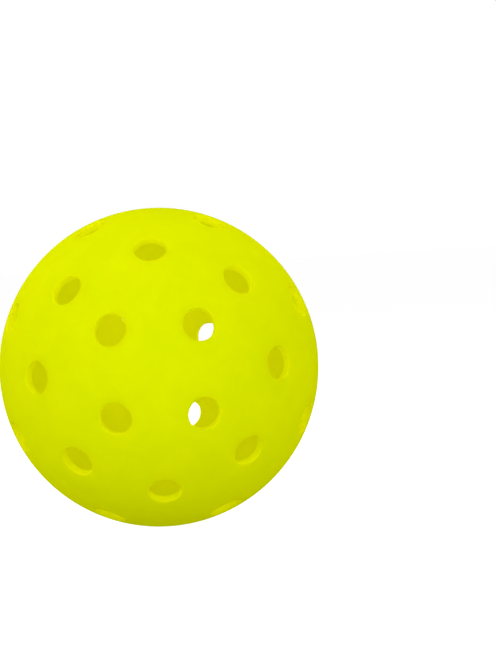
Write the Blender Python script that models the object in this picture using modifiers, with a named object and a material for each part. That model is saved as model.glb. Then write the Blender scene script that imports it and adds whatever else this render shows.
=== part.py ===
"""A pickleball ball: two drilled half shells of plastic, and the weld that fuses their rims.

The origin is the ball's centre. The front half's pole points along -Y, the rear half's along +Y, and the
rims meet near the plane Y = 0. Units are metres.
"""

from math import acos, asin, cos, pi, radians, sin, sqrt

import bmesh
import bpy
from mathutils import Matrix, Vector

MM = 0.001

# Driving dimensions
BALL_DIAMETER = 74 * MM
WALL = 1.8 * MM
HOLE_DIAMETER = 7.5 * MM
HOLE_RINGS = (  # polar angle from the half's pole, number of holes, angle of the first one
    (22.5, 4, 45.0),
    (48.0, 8, 0.0),
    (75.0, 8, 22.5),
)
REAR_TWIST = 22.5  # degrees that the rear half is turned about the poles, so that the outer rings alternate
GAP = 0.3 * MM  # clearance at the joint, which the weld fills on the real ball
SPIGOT_REACH = 1.5 * MM  # how far the front half's inner lip goes past the parting plane
BEAD_WIDTH = 2.4 * MM
BEAD_HEIGHT = 0.8 * MM

# Sizes that follow from them
OUTER_RADIUS = BALL_DIAMETER / 2
INNER_RADIUS = OUTER_RADIUS - WALL
HOLE_RADIUS = HOLE_DIAMETER / 2
LIP = (WALL - GAP) / 2  # the two lips share the wall, with the gap between them
SPIGOT_RADIUS = INNER_RADIUS + LIP
SOCKET_RADIUS = OUTER_RADIUS - LIP
SOCKET_FLOOR = SPIGOT_REACH + GAP
BEAD_PLANE = SPIGOT_REACH + GAP / 2  # the inner line of the joint, on the rear side of the parting plane

# Fineness of the round shapes
TURN_STEPS = 48
ARC_STEPS = 12
BEAD_STEPS = 8
HOLE_SIDES = 20
SHARP_ANGLE = radians(35)
AXIS_MERGE = 0.00001

BALL_YELLOW = (0.68, 0.80, 0.01)
WELD_YELLOW = (0.62, 0.74, 0.02)


def clear_scene():
    for obj in list(bpy.data.objects):
        bpy.data.objects.remove(obj, do_unlink=True)


def new_collection(name):
    collection = bpy.data.collections.new(name)
    bpy.context.scene.collection.children.link(collection)
    return collection


def plastic(name, color, roughness):
    material = bpy.data.materials.new(name)
    material.use_nodes = True
    shader = material.node_tree.nodes["Principled BSDF"]
    shader.inputs["Base Color"].default_value = (*color, 1)
    shader.inputs["Roughness"].default_value = roughness
    shader.inputs["Metallic"].default_value = 0
    shader.inputs["IOR"].default_value = 1.5
    return material


def arc(radius, start, end, steps):
    """Points (x, z) of an arc about the ball's centre. Angles are polar: 0 at the pole, pi/2 at the equator."""
    angles = [start + (end - start) * i / steps for i in range(steps + 1)]
    return [(radius * sin(a), radius * cos(a)) for a in angles]


def half_shell_outline(rim, rim_height, inner_height):
    """The section of one half: down the outer face, across the rim, and up the inner face."""
    outer = arc(OUTER_RADIUS, 0, acos(rim_height / OUTER_RADIUS), ARC_STEPS)
    inner = arc(INNER_RADIUS, acos(inner_height / INNER_RADIUS), 0, ARC_STEPS)
    return outer + rim + inner


def spigot_outline():
    """The front half, with a thin inner lip that crosses the parting plane."""
    rim = [
        (SPIGOT_RADIUS, GAP / 2),
        (SPIGOT_RADIUS, -SPIGOT_REACH),
        (INNER_RADIUS, -SPIGOT_REACH),
    ]
    return half_shell_outline(rim, GAP / 2, 0)


def socket_outline():
    """The rear half, with a thin outer lip that goes over the front half's."""
    rim = [(SOCKET_RADIUS, GAP / 2), (SOCKET_RADIUS, SOCKET_FLOOR)]
    return half_shell_outline(rim, GAP / 2, SOCKET_FLOOR)


def bead_outline():
    """The weld bead: flat towards the shells, and crowned towards the ball's centre."""
    half_width = BEAD_WIDTH / 2
    widest_reach = BEAD_PLANE + half_width
    base = sqrt(INNER_RADIUS**2 - widest_reach**2) - GAP
    angles = [pi * i / BEAD_STEPS for i in range(BEAD_STEPS + 1)]
    return [
        (base - BEAD_HEIGHT * sin(a), BEAD_PLANE - half_width * cos(a)) for a in angles
    ]


def turned(name, outline, closed, collection):
    """Turns an outline of (x, z) points about Z."""
    mesh = bpy.data.meshes.new(name)
    edges = [(i, i + 1) for i in range(len(outline) - 1)]
    if closed:
        edges.append((len(outline) - 1, 0))
    mesh.from_pydata([(x, 0, z) for x, z in outline], edges, [])
    obj = bpy.data.objects.new(name, mesh)
    collection.objects.link(obj)
    screw = obj.modifiers.new("turn", "SCREW")
    screw.steps = screw.render_steps = TURN_STEPS
    screw.use_merge_vertices = True
    screw.merge_threshold = AXIS_MERGE
    return obj


def hole_directions():
    """Unit vectors from the ball's centre through each hole of one half, whose pole is +Z."""
    for polar, count, first in HOLE_RINGS:
        for i in range(count):
            azimuth = radians(first + 360 * i / count)
            tilt = radians(polar)
            yield Vector((sin(tilt) * cos(azimuth), sin(tilt) * sin(azimuth), cos(tilt)))


def drill(name, collection):
    """All of one half's drill bits: cylinders that point at the ball's centre and cross the wall."""
    bm = bmesh.new()
    sagitta = OUTER_RADIUS * (1 - cos(asin(HOLE_RADIUS / OUTER_RADIUS)))
    depth = 2 * (WALL + sagitta)
    for direction in hole_directions():
        middle = direction * (OUTER_RADIUS - WALL / 2)
        turn = direction.to_track_quat("Z", "Y").to_matrix().to_4x4()
        bmesh.ops.create_cone(
            bm,
            cap_ends=True,
            segments=HOLE_SIDES,
            radius1=HOLE_RADIUS,
            radius2=HOLE_RADIUS,
            depth=depth,
            matrix=Matrix.Translation(middle) @ turn,
        )
    mesh = bpy.data.meshes.new(name)
    bm.to_mesh(mesh)
    bm.free()
    obj = bpy.data.objects.new(name, mesh)
    collection.objects.link(obj)
    obj.hide_render = True
    obj.display_type = "WIRE"
    return obj


def point_pole(obj, side, twist=0.0):
    """Turns an object so that its +Z becomes the ball's -Y (side 1) or +Y (side -1), after a twist about Z."""
    obj.rotation_mode = "ZYX"
    obj.rotation_euler = (side * pi / 2, 0, radians(twist))


def apply_modifiers(obj):
    """Makes the modified shape the object's own mesh, smooth except at its real edges."""
    bpy.context.view_layer.update()
    graph = bpy.context.evaluated_depsgraph_get()
    mesh = bpy.data.meshes.new_from_object(obj.evaluated_get(graph))
    obj.modifiers.clear()
    obj.data = mesh
    mesh.name = obj.name
    mesh.shade_smooth()
    mesh.set_sharp_from_angle(angle=SHARP_ANGLE)


def make_half(name, outline, side, twist, parts, cutters, material):
    shell = turned(name, outline, False, parts)
    bits = drill(name + "_drill", cutters)
    point_pole(shell, side, twist)
    point_pole(bits, side, twist)
    holes = shell.modifiers.new("holes", "BOOLEAN")
    holes.object = bits
    holes.operation = "DIFFERENCE"
    apply_modifiers(shell)
    shell.data.materials.clear()
    shell.data.materials.append(material)


def make_bead(name, parts, material):
    bead = turned(name, bead_outline(), True, parts)
    point_pole(bead, -1)
    apply_modifiers(bead)
    bead.data.materials.append(material)


def main():
    clear_scene()
    parts = new_collection("pickleball_ball")
    cutters = new_collection("cutters")
    front = plastic("front_shell_plastic", BALL_YELLOW, 0.38)
    rear = plastic("rear_shell_plastic", BALL_YELLOW, 0.38)
    weld = plastic("weld_plastic", WELD_YELLOW, 0.3)
    make_half("front_half_shell", spigot_outline(), 1, 0.0, parts, cutters, front)
    make_half("rear_half_shell", socket_outline(), -1, REAR_TWIST, parts, cutters, rear)
    make_bead("seam_weld_bead", parts, weld)


main()
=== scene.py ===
"""Looks of the pickleball ball: two drilled half shells of translucent neon plastic and the weld inside.

Everything is in metres, in the CAD model's frame: the ball's centre is the origin, the front half's pole
points along -Y, the rear half's along +Y, and Z is up. Each half is made with its pole along +Z and then
turned.
"""

from math import acos, atan2, ceil, cos, pi, radians, sin, sqrt

import bmesh
import bpy
from mathutils import Matrix, Quaternion, Vector, noise
from mathutils.geometry import delaunay_2d_cdt


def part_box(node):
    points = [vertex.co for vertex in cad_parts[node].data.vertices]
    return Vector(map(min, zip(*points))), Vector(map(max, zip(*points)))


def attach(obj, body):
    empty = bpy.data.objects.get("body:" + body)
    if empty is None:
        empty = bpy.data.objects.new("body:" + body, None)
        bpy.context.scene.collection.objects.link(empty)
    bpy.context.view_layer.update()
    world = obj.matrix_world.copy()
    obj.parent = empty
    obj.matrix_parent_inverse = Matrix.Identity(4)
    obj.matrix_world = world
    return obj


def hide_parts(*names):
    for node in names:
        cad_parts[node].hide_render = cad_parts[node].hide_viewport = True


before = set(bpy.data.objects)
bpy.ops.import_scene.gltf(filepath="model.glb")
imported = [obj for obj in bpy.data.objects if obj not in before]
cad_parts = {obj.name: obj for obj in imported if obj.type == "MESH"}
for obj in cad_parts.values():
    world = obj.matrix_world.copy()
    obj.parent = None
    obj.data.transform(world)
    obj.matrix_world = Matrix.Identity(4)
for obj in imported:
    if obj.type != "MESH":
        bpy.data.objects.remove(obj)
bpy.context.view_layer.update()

MM = 0.001
FULL_TURN = 2 * pi
QUARTER_TURN = pi / 2
POLE = Vector((0, 0, 1))

# ---------------------------------------------------------------- sizes of the ball

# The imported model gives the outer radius, and the rest repeats part.py.
OUTER_RADIUS = -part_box("front_half_shell")[0].y
WALL = 1.8 * MM
INNER_RADIUS = OUTER_RADIUS - WALL
HOLE_RADIUS = 3.75 * MM
HOLE_RINGS = (  # in degrees: polar angle from the half's pole, number of holes, azimuth of the first one
    (22.5, 4, 45.0),
    (48.0, 8, 0.0),
    (75.0, 8, 22.5),
)
REAR_TWIST = 22.5  # degrees about the pole
JOINT_RADIUS = OUTER_RADIUS - WALL / 2  # the lips of the two rims meet here
JOINT_PLANE = 1.65 * MM  # the joint's inner line is this far behind the parting plane
BEAD_HALF_WIDTH = 1.2 * MM
BEAD_HEIGHT = 0.8 * MM

# Details that only the looks have
FIT = 0.02 * MM  # half the hairline gap between the fused rims
RIM_ROUNDING = 0.08 * MM
HOLE_ROUNDING_OUTSIDE = 0.12 * MM
HOLE_ROUNDING_INSIDE = 0.1 * MM
BEAD_CLEARANCE = 0.01 * MM  # between the bead's back and the shells
BEAD_CROWN_POWER = 1.2  # 1 is an elliptic crown, and more is a narrower one

# The bead's unevenness: its height swells slowly and ripples quickly, by these shares, and it wanders
# sideways. A higher rate changes more quickly on the way round.
BEAD_SWELL = 0.3
BEAD_SWELL_RATE = 9
BEAD_RIPPLE = 0.12
BEAD_RIPPLE_RATE = 31
BEAD_WANDER = 0.15 * BEAD_HALF_WIDTH
BEAD_WANDER_RATE = 7
BEAD_WANDER_SHIFT = Vector((0, 0, 5))  # another part of the noise, so that it doesn't follow the swelling

# Fineness of the meshes
HOLE_SIDES = 48
RIM_SIDES = 256
BEAD_SIDES = 320
BEAD_STEPS = 14
ROUNDING_STEPS = 6
WALL_STEPS = 4
SPIGOT_FACE_STEPS = (0.6, 0.3, 0)  # heights on the spigot's inner face, as shares of its reach
SHARP_ANGLE = radians(35)
MERGE_DISTANCE = 0.001 * MM

# A skin's points: rings that follow each hole's edge and the rim, as (distance from it, number of points),
# and a filling that starts beyond the last ring.
HOLE_GUARDS = ((0.2 * MM, 48), (0.6 * MM, 48), (1.25 * MM, 36))
RIM_GUARDS = ((0.2 * MM, 256), (0.9 * MM, 256), (1.9 * MM, 160))
FILL_SPACING = 1.4 * MM
FILL_CLEARANCE = 0.75 * FILL_SPACING
ALL_TRIANGLES = 0  # delaunay_2d_cdt's output type
SAME_POINT = 1e-9  # and its tolerance

# ---------------------------------------------------------------- colours and light

# Colours of the plastic. The mottling goes from the first to the second of a pair. The inside pair is
# redder:
# painted light, standing in for the light that has come through the wall.
SHELL_OUTSIDE = ((0.742, 0.895, 0.0, 1), (0.702, 0.855, 0.0, 1))
SHELL_INSIDE_PAINTED_LIGHT = ((0.825, 0.85, 0.0, 1), (0.795, 0.82, 0.0, 1))
WELD_COLORS = ((0.76, 0.80, 0.0, 1), (0.72, 0.77, 0.0, 1))
CUT_EDGE_PAINTED_LIGHT_COLOR = (0.92, 1.0, 0.0, 1)  # the walls of the holes and the rims, lighter than the skins: painted light for the light that the plastic pipes out of its cut faces
MOTTLE = {"Scale": 95.0, "Detail": 3.0, "Roughness": 0.55, "Distortion": 0.4}
MOTTLE_RANGE = (0.32, 0.68)  # noise levels that give a pair's first and second colour
GRAIN = {"Scale": 900.0, "Detail": 4.0, "Roughness": 0.6}
ROUGHNESS_RANGE = (0.42, 0.56)
GRAIN_BUMP = {"Strength": 0.25, "Distance": 0.04 * MM}
SCATTER_DISTANCE = 6.0 * MM
SCATTER_SHARES = (1.0, 0.9, 0.05)  # of the scattering distance, for red, green and blue

# A small emission is painted light: it stands in for fluorescence and for light that the renderer stops
# following, on the inside, the cut edges and the joint
INSIDE_GLOW = 0.08
INSIDE_GLOW_COLOR = (0.84, 0.81, 0.0, 1)
CUT_EDGE_GLOW = 0.12
CUT_EDGE_GLOW_COLOR = (0.72, 0.98, 0.0, 1)
JOINT_GLOW = 0.08

# Distances from the ball's centre between which the outside's look gives way to the inside's
INSIDE_STARTS = OUTER_RADIUS - 0.3 * MM
INSIDE_FULL = INNER_RADIUS + 0.1 * MM

# How squarely a surface faces the ball's centre, from 0 to 1
FACING_SKIN = 0.9  # all skin from here up
FACING_CUT = 0.4  # all cut edge from here down

# The joint's faces lie this near to the parting plane, and their glow grows between once and twice the cover
# below each skin.
JOINT_REACH = 2.4 * MM
JOINT_COVER = 0.25 * MM

# Floor
FLOOR_REACH = 30.0
FLOOR_SQUARES = 8
FLOOR_COLOR = (0.4, 0.4, 0.4, 1)
FLOOR_ROUGHNESS = 0.9
FLOOR_GLOW = 0.955
WHITE = (1, 1, 1, 1)

# The sky's brightness by elevation, in degrees. It's white where it meets the floor, and dark above, where
# the softboxes give the light.
SKY_LEVELS = ((-90, 0.42), (-7, 0.42), (-3, 1.0), (12, 1.0), (18, 0.02), (90, 0.02))

# Softboxes: name, azimuth and elevation in degrees, diameter in metres, power in watts. Azimuth 0 is the
# camera's side, and 90 is the picture's right.
SOFTBOXES = (
    ("front_softbox", 0, 0, 0.9, 2.8),
    ("high_front_softbox", 0, 35, 0.5, 2.3),
    ("left_softbox", -50, 26, 0.9, 3.7),
    ("right_softbox", 50, 16, 0.9, 2.5),
    ("top_softbox", 0, 80, 0.9, 2.5),
    ("back_softbox", 180, 12, 0.9, 1.7),
    ("high_back_softbox", 180, 58, 0.9, 4.7),
    ("back_left_softbox", -125, 20, 0.9, 2.1),
    ("back_right_softbox", 125, 20, 0.9, 1.7),
)
SOFTBOX_DISTANCE = 1.2
DIFFUSE_BOUNCES = 8  # enough for the light that goes round inside the ball

# The camera's place comes from the photo: where the rings of holes lie in the ball's outline, and where
# the ball lies in the picture.
CAMERA_DISTANCE = 22 * OUTER_RADIUS
CAMERA_ELEVATION = radians(1.75)
CAMERA_AZIMUTH = radians(0.8)
CAMERA_ROLL = radians(-3.6)
CAMERA_PAN = radians(-1.453)
CAMERA_TILT = radians(0.5735)
CAMERA_LENS = 190
CAMERA_NEAR = 0.05
CAMERA_FAR = 100


# ---------------------------------------------------------------- directions on a half, whose pole is +Z


def direction_at(polar, azimuth):
    """A unit vector at an angle from +Z, turned about it from +X."""
    return Vector((sin(polar) * cos(azimuth), sin(polar) * sin(azimuth), cos(polar)))


def hole_directions():
    """Unit vectors from the ball's centre through each hole of one half."""
    for polar, count, first in HOLE_RINGS:
        for i in range(count):
            yield direction_at(radians(polar), radians(first + 360 * i / count))


def cross_axes(axis):
    """Two unit vectors that are square to the axis and to each other."""
    if axis.z == 1:
        return Vector((1, 0, 0)), Vector((0, 1, 0))
    across = axis.cross(POLE).normalized()
    return across, axis.cross(across)


def ring_round(axis, polar, count):
    """Directions on a circle about an axis, at an angle from it."""
    across, along = cross_axes(axis)
    turns = [FULL_TURN * i / count for i in range(count)]
    return [axis * cos(polar) + (across * cos(t) + along * sin(t)) * sin(polar) for t in turns]


def fill_directions(spacing_angle, lowest_polar):
    """A spiral of evenly spaced directions, from the pole to an angle from it."""
    cell = spacing_angle**2 * sqrt(3) / 2  # the area round each point of an even triangular grid
    count = ceil(4 * pi / cell)
    golden_turn = pi * (3 - sqrt(5))
    for i in range(count):
        polar = acos(1 - (2 * i + 1) / count)
        if polar > lowest_polar:
            return
        yield direction_at(polar, golden_turn * i)


def free_directions(radius, hole_angle, rim_polar):
    """A skin's points between its edges: guard rings along the holes and the rim, and the filling."""
    holes = list(hole_directions())
    found = []
    for distance, count in RIM_GUARDS:
        found += ring_round(POLE, rim_polar - distance / radius, count)
    for axis in holes:
        for distance, count in HOLE_GUARDS:
            found += ring_round(axis, hole_angle + distance / radius, count)
    clear_of_hole = cos(hole_angle + (HOLE_GUARDS[-1][0] + FILL_CLEARANCE) / radius)
    clear_of_rim = rim_polar - (RIM_GUARDS[-1][0] + FILL_CLEARANCE) / radius
    for direction in fill_directions(FILL_SPACING / radius, clear_of_rim):
        if all(direction.dot(axis) < clear_of_hole for axis in holes):
            found.append(direction)
    return found


def flattened(direction):
    """A stereographic projection, which keeps circles as circles, and so keeps Delaunay triangles too."""
    return Vector((direction.x, direction.y)) * 2 / (1 + direction.z)


# ---------------------------------------------------------------- outlines: (distance from the axis, height)


def arc_points(centre, radius, start, end):
    """Points along an arc, between two angles from the outward direction."""
    angles = [start + (end - start) * i / ROUNDING_STEPS for i in range(ROUNDING_STEPS + 1)]
    return [(centre[0] + radius * cos(a), centre[1] + radius * sin(a)) for a in angles]


def hole_outline():
    """From the outer skin over a rounded edge, along the hole's wall and over another to the inner skin."""
    outside, inside = HOLE_ROUNDING_OUTSIDE, HOLE_ROUNDING_INSIDE
    reach_out = HOLE_RADIUS + outside
    height_out = sqrt((OUTER_RADIUS - outside) ** 2 - reach_out**2)
    reach_in = HOLE_RADIUS + inside
    height_in = sqrt((INNER_RADIUS + inside) ** 2 - reach_in**2)
    top = arc_points((reach_out, height_out), outside, atan2(height_out, reach_out), pi)
    bottom = arc_points((reach_in, height_in), inside, pi, pi + atan2(height_in, reach_in))
    drop = (height_out - height_in) / WALL_STEPS
    wall = [(HOLE_RADIUS, height_out - drop * i) for i in range(1, WALL_STEPS)]
    return top + wall + bottom


def outer_edge():
    """The rounded outer edge of a rim, from the outer skin down to the parting face."""
    height = FIT + RIM_ROUNDING
    reach = sqrt((OUTER_RADIUS - RIM_ROUNDING) ** 2 - height**2)
    return arc_points((reach, height), RIM_ROUNDING, atan2(height, reach), -QUARTER_TURN)


def spigot_rim():
    """The front half's rim: an inner lip that crosses the parting plane. It ends on the inner skin."""
    lip_outside = JOINT_RADIUS - FIT
    lip_end = FIT - JOINT_PLANE
    corner = RIM_ROUNDING
    outer_corner = arc_points((lip_outside - corner, lip_end + corner), corner, 0, -QUARTER_TURN)
    inner_corner = arc_points((INNER_RADIUS + corner, lip_end + corner), corner, -QUARTER_TURN, -pi)
    inner_face = [(INNER_RADIUS, lip_end * share) for share in SPIGOT_FACE_STEPS]
    return outer_edge() + [(lip_outside, FIT)] + outer_corner + inner_corner + inner_face


def socket_rim():
    """The rear half's rim: an outer lip that goes over the front half's. It ends on the inner skin."""
    lip_inside = JOINT_RADIUS + FIT
    lip_root = JOINT_PLANE + FIT
    corner = RIM_ROUNDING
    lip_corner = arc_points((lip_inside + corner, FIT + corner), corner, -QUARTER_TURN, -pi)
    height = lip_root + corner
    reach = sqrt((INNER_RADIUS + corner) ** 2 - height**2)
    inner_corner = arc_points((reach, height), corner, -QUARTER_TURN, -pi + atan2(height, reach))
    return outer_edge() + lip_corner + [(lip_inside, lip_root)] + inner_corner


def bead_outline(around):
    """The weld's section in one direction: its back near the shells, and an uneven crown inwards."""
    swell = 1 + BEAD_SWELL * noise.noise(around * BEAD_SWELL_RATE)
    swell += BEAD_RIPPLE * noise.noise(around * BEAD_RIPPLE_RATE)
    wander = BEAD_WANDER * noise.noise(around * BEAD_WANDER_RATE + BEAD_WANDER_SHIFT)
    back, crown = [], []
    for i in range(BEAD_STEPS + 1):
        across = -1 + 2 * i / BEAD_STEPS
        height = JOINT_PLANE + BEAD_HALF_WIDTH * across + wander
        reach = sqrt(INNER_RADIUS**2 - height**2) - BEAD_CLEARANCE
        rise = BEAD_HEIGHT * swell * sqrt(max(0, 1 - across**2)) ** BEAD_CROWN_POWER
        back.append((reach, height))
        crown.append((reach - rise, height))
    return back + crown[-2:0:-1]


# ---------------------------------------------------------------- meshes


def join_rings(bm, rings):
    """Quads between each closed ring of vertices and the next one."""
    for first, second in zip(rings, rings[1:]):
        count = len(first)
        for i in range(count):
            j = (i + 1) % count
            bm.faces.new((first[i], first[j], second[j], second[i]))


def turned_rings(bm, outline, axis, count):
    """The rings of vertices of an outline that is turned about an axis through the ball's centre."""
    spokes = ring_round(axis, QUARTER_TURN, count)
    rings = []
    for reach, height in outline:
        rings.append([bm.verts.new(axis * height + spoke * reach) for spoke in spokes])
    return rings


def closed_edges(loops):
    """Pairs of neighbours in closed loops, numbered through all of them."""
    edges = []
    start = 0
    for loop in loops:
        edges += [(start + i, start + (i + 1) % len(loop)) for i in range(len(loop))]
        start += len(loop)
    return edges


def skin(bm, radius, rim_loop, hole_loops, hole_angle, rim_polar):
    """Triangles over a sphere of a given radius, from the pole to the rim, with a gap at each hole.

    rim_loop and hole_loops hold the vertices that bound it, rim_polar is the rim's angle from the pole, and
    hole_angle is a hole's edge's angle from the hole's axis.
    """
    loops = [rim_loop] + hole_loops
    fixed = [vert for loop in loops for vert in loop]
    free = free_directions(radius, hole_angle, rim_polar)
    points = [flattened(vert.co.normalized()) for vert in fixed] + [flattened(d) for d in free]
    edges = closed_edges(loops)
    _, _, triangles, origins, _, _ = delaunay_2d_cdt(points, edges, [], ALL_TRIANGLES, SAME_POINT)
    verts = fixed + [bm.verts.new(d * radius) for d in free]
    # Each point's hole, counted from 1, or 0 for the rim's points and the free ones
    hole_of = [number for number, loop in enumerate(loops) for _ in loop] + [0] * len(free)
    for triangle in triangles:
        corners = [origins[i][0] for i in triangle]
        holes = {hole_of[i] for i in corners}
        if len(holes) == 1 and 0 not in holes:
            continue  # it would close a hole
        bm.faces.new([verts[i] for i in corners])


def linked(name, data):
    """A new object in the scene."""
    obj = bpy.data.objects.new(name, data)
    bpy.context.scene.collection.objects.link(obj)
    return obj


def finished(name, bm, turn):
    """The mesh as a smooth object, turned into place, with its faces outwards."""
    bmesh.ops.transform(bm, matrix=turn, verts=bm.verts)
    bmesh.ops.remove_doubles(bm, verts=bm.verts, dist=MERGE_DISTANCE)
    bmesh.ops.recalc_face_normals(bm, faces=bm.faces)
    mesh = bpy.data.meshes.new(name)
    bm.to_mesh(mesh)
    bm.free()
    mesh.shade_smooth()
    mesh.set_sharp_from_angle(angle=SHARP_ANGLE)
    return linked(name, mesh)


def half_shell(name, rim_outline, side, twist):
    """One half: two skins, its hole walls and its rim. side is 1 for the front and -1 for the rear.

    twist turns it about its pole, in degrees.
    """
    bm = bmesh.new()
    outline = hole_outline()
    hole_walls = [turned_rings(bm, outline, axis, HOLE_SIDES) for axis in hole_directions()]
    rim = turned_rings(bm, rim_outline, POLE, RIM_SIDES)
    for rings in (*hole_walls, rim):
        join_rings(bm, rings)
    for radius, end in ((OUTER_RADIUS, 0), (INNER_RADIUS, -1)):
        hole_loops = [rings[end] for rings in hole_walls]
        skin(bm, radius, rim[end], hole_loops, atan2(*outline[end]), atan2(*rim_outline[end]))
    turn = Matrix.Rotation(side * QUARTER_TURN, 4, "X") @ Matrix.Rotation(radians(twist), 4, "Z")
    return finished(name, bm, turn)


def weld_bead(name):
    """The ring of weld inside the ball, over the joint's inner line."""
    bm = bmesh.new()
    sections = []
    for i in range(BEAD_SIDES):
        around = direction_at(QUARTER_TURN, FULL_TURN * i / BEAD_SIDES)
        places = [around * reach + POLE * height for reach, height in bead_outline(around)]
        sections.append([bm.verts.new(place) for place in places])
    join_rings(bm, sections + sections[:1])
    return finished(name, bm, Matrix.Rotation(-QUARTER_TURN, 4, "X"))


# ---------------------------------------------------------------- nodes


def set_inputs(tree, node, inputs):
    """Fill a node's inputs, by name or number. Another node's output is linked, and the rest are values."""
    for key, value in inputs.items():
        if isinstance(value, bpy.types.NodeSocket):
            tree.links.new(value, node.inputs[key])
        else:
            node.inputs[key].default_value = value


def add_node(tree, kind, inputs, **settings):
    """A new node with its settings and inputs."""
    node = tree.nodes.new(kind)
    for name, value in settings.items():
        setattr(node, name, value)
    set_inputs(tree, node, inputs)
    return node


def calculated(tree, operation, *values):
    """The result of a calculation with numbers."""
    return add_node(tree, "ShaderNodeMath", dict(enumerate(values)), operation=operation).outputs["Value"]


def vector_result(tree, output, operation, *vectors):
    """The result of a calculation with vectors, by the name of its output."""
    node = add_node(tree, "ShaderNodeVectorMath", dict(enumerate(vectors)), operation=operation)
    return node.outputs[output]


def mapped(tree, value, start, end, low=0.0, high=1.0):
    """A value scaled from one range to another, and kept within it."""
    inputs = {"Value": value, "From Min": start, "From Max": end, "To Min": low, "To Max": high}
    return add_node(tree, "ShaderNodeMapRange", inputs).outputs["Result"]


def mixed(tree, share, first, second):
    """A colour that goes from the first to the second."""
    inputs = {"Factor": share, "A": first, "B": second}
    return add_node(tree, "ShaderNodeMix", inputs, data_type="RGBA").outputs["Result"]


def new_material(name):
    """A material with its node tree and its shader."""
    material = bpy.data.materials.new(name)
    material.use_nodes = True
    return material, material.node_tree, material.node_tree.nodes["Principled BSDF"]


# ---------------------------------------------------------------- materials


def cut_edge_mask(tree, place):
    """1 on the walls of the holes and the rims, which face along the shell, and 0 on the two skins."""
    outwards = vector_result(tree, "Vector", "NORMALIZE", place)
    normal = tree.nodes.new("ShaderNodeNewGeometry").outputs["Normal"]
    facing = vector_result(tree, "Value", "DOT_PRODUCT", outwards, normal)
    return mapped(tree, calculated(tree, "ABSOLUTE", facing), FACING_SKIN, FACING_CUT)


def joint_mask(tree, place, depth):
    """1 on the faces of the fused joint, inside the wall near the parting plane, and 0 elsewhere."""
    split = add_node(tree, "ShaderNodeSeparateXYZ", {"Vector": place})
    from_plane = calculated(tree, "ABSOLUTE", split.outputs["Y"])
    near = calculated(tree, "LESS_THAN", from_plane, JOINT_REACH)
    from_middle = calculated(tree, "ABSOLUTE", calculated(tree, "SUBTRACT", depth, JOINT_RADIUS))
    covered = mapped(tree, from_middle, WALL / 2 - JOINT_COVER, WALL / 2 - 2 * JOINT_COVER)
    return calculated(tree, "MULTIPLY", near, covered)


def plastic(name, outside, inside):
    """Translucent moulded plastic, with a pair of colours for the outside and another for the inside."""
    material, tree, shader = new_material(name)
    place = tree.nodes.new("ShaderNodeTexCoord").outputs["Object"]
    depth = vector_result(tree, "Value", "LENGTH", place)
    inwards = mapped(tree, depth, INSIDE_STARTS, INSIDE_FULL)
    cut_edges = cut_edge_mask(tree, place)

    mottle = add_node(tree, "ShaderNodeTexNoise", {"Vector": place, **MOTTLE})
    patches = mapped(tree, mottle.outputs["Fac"], *MOTTLE_RANGE)
    skins = mixed(tree, inwards, mixed(tree, patches, *outside), mixed(tree, patches, *inside))

    glow_level = mapped(tree, cut_edges, 0.0, 1.0, INSIDE_GLOW, CUT_EDGE_GLOW)
    inside_glow = calculated(tree, "MULTIPLY", inwards, glow_level)
    joint = joint_mask(tree, place, depth)

    grain = add_node(tree, "ShaderNodeTexNoise", {"Vector": place, **GRAIN}).outputs["Fac"]
    bump = add_node(tree, "ShaderNodeBump", {"Height": grain, **GRAIN_BUMP})

    shader.subsurface_method = "RANDOM_WALK"
    set_inputs(
        tree,
        shader,
        {
            # The cut edges' lighter colour is painted light, and so is the emission below
            "Base Color": mixed(tree, cut_edges, skins, CUT_EDGE_PAINTED_LIGHT_COLOR),
            "Emission Color": mixed(tree, cut_edges, INSIDE_GLOW_COLOR, CUT_EDGE_GLOW_COLOR),
            "Emission Strength": calculated(tree, "MULTIPLY_ADD", joint, JOINT_GLOW, inside_glow),
            "Roughness": mapped(tree, grain, 0.0, 1.0, *ROUGHNESS_RANGE),
            "Normal": bump.outputs["Normal"],
            "Subsurface Weight": 1.0,
            "Subsurface Radius": SCATTER_SHARES,
            "Subsurface Scale": SCATTER_DISTANCE,
            "Specular IOR Level": 0.0,
        },
    )
    return material


# ---------------------------------------------------------------- floor, light and camera


def make_floor():
    """A pale floor, almost white by its own glow, as in the photo. It adds no light to the ball."""
    bm = bmesh.new()
    bmesh.ops.create_grid(bm, x_segments=FLOOR_SQUARES, y_segments=FLOOR_SQUARES, size=FLOOR_REACH)
    mesh = bpy.data.meshes.new("floor")
    bm.to_mesh(mesh)
    bm.free()
    floor = linked("floor", mesh)
    floor.location.z = -OUTER_RADIUS
    floor.visible_diffuse = False
    floor.visible_glossy = False
    floor.visible_shadow = False
    material, tree, shader = new_material("pale_floor")
    set_inputs(
        tree,
        shader,
        {
            "Base Color": FLOOR_COLOR,
            "Roughness": FLOOR_ROUGHNESS,
            "Specular IOR Level": 0.0,
            "Emission Color": WHITE,
            "Emission Strength": FLOOR_GLOW,
        },
    )
    mesh.materials.append(material)


def make_world():
    """A sky whose brightness depends only on the elevation."""
    world = bpy.data.worlds.new("studio")
    bpy.context.scene.world = world
    world.use_nodes = True
    tree = world.node_tree
    place = tree.nodes.new("ShaderNodeTexCoord").outputs["Generated"]
    height = add_node(tree, "ShaderNodeSeparateXYZ", {"Vector": place}).outputs["Z"]
    ramp = add_node(tree, "ShaderNodeValToRGB", {"Fac": mapped(tree, height, -1.0, 1.0)})
    elements = ramp.color_ramp.elements
    while len(elements) < len(SKY_LEVELS):
        elements.new(0.5)  # its real position follows below
    for element, (elevation, level) in zip(elements, SKY_LEVELS):
        element.position = (sin(radians(elevation)) + 1) / 2
        element.color = (level, level, level, 1)
    set_inputs(tree, tree.nodes["Background"], {"Color": ramp.outputs["Color"]})


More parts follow.
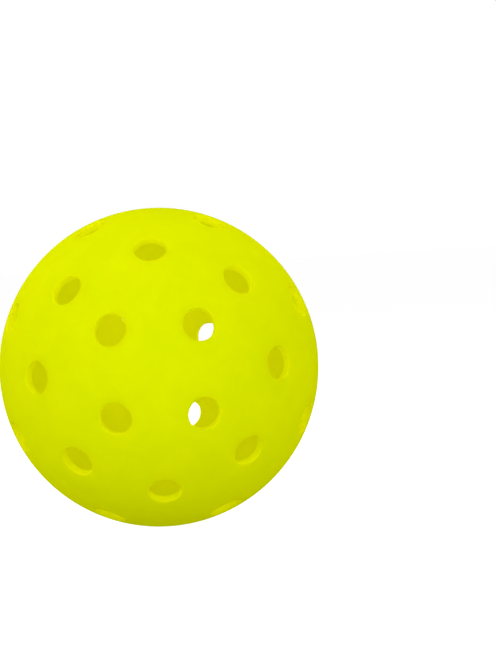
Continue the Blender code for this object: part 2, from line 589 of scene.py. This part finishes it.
def make_softbox(name, azimuth, elevation, diameter, power):
    """A round soft light that points at the ball."""
    light = bpy.data.lights.new(name, "AREA")
    light.shape = "DISK"
    light.size = diameter
    light.energy = power
    direction = direction_at(radians(90 - elevation), radians(azimuth) - QUARTER_TURN)
    softbox = linked(name, light)
    softbox.location = direction * SOFTBOX_DISTANCE
    softbox.rotation_mode = "QUATERNION"
    softbox.rotation_quaternion = direction.to_track_quat("Z", "Y")


def make_camera():
    """The photo's camera. It points at the ball, and then turns to place it in the picture."""
    camera = bpy.data.cameras.new("camera")
    camera.lens = CAMERA_LENS
    camera.clip_start = CAMERA_NEAR
    camera.clip_end = CAMERA_FAR
    away = direction_at(QUARTER_TURN - CAMERA_ELEVATION, CAMERA_AZIMUTH - QUARTER_TURN)
    aim = (-away).to_track_quat("-Z", "Y")
    aim = aim @ Quaternion((0, 0, 1), CAMERA_ROLL)
    aim = aim @ Quaternion((0, 1, 0), CAMERA_PAN)
    aim = aim @ Quaternion((1, 0, 0), CAMERA_TILT)
    viewer = linked("camera", camera)
    viewer.location = away * CAMERA_DISTANCE
    viewer.rotation_mode = "QUATERNION"
    viewer.rotation_quaternion = aim
    bpy.context.scene.camera = viewer


# ---------------------------------------------------------------- the scene

SHELL_PLASTIC = plastic("neon_shell_plastic", SHELL_OUTSIDE, SHELL_INSIDE_PAINTED_LIGHT)
WELD_PLASTIC = plastic("neon_weld_plastic", WELD_COLORS, WELD_COLORS)
FRONT_SHELL = half_shell("front_shell_skin", spigot_rim(), 1, 0.0)
REAR_SHELL = half_shell("rear_shell_skin", socket_rim(), -1, REAR_TWIST)
WELD_BEAD = weld_bead("weld_bead_skin")

for piece, node, slot, material in (
    (FRONT_SHELL, "front_half_shell", "ball_plastic", SHELL_PLASTIC),
    (REAR_SHELL, "rear_half_shell", "ball_plastic", SHELL_PLASTIC),
    (WELD_BEAD, "seam_weld_bead", "weld_plastic", WELD_PLASTIC),
):
    piece.data.materials.append(material)
    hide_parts(node)
    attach(piece, "root")

make_floor()
make_world()
for softbox in SOFTBOXES:
    make_softbox(*softbox)
make_camera()
bpy.context.scene.view_settings.view_transform = "Standard"
bpy.context.scene.cycles.diffuse_bounces = DIFFUSE_BOUNCES
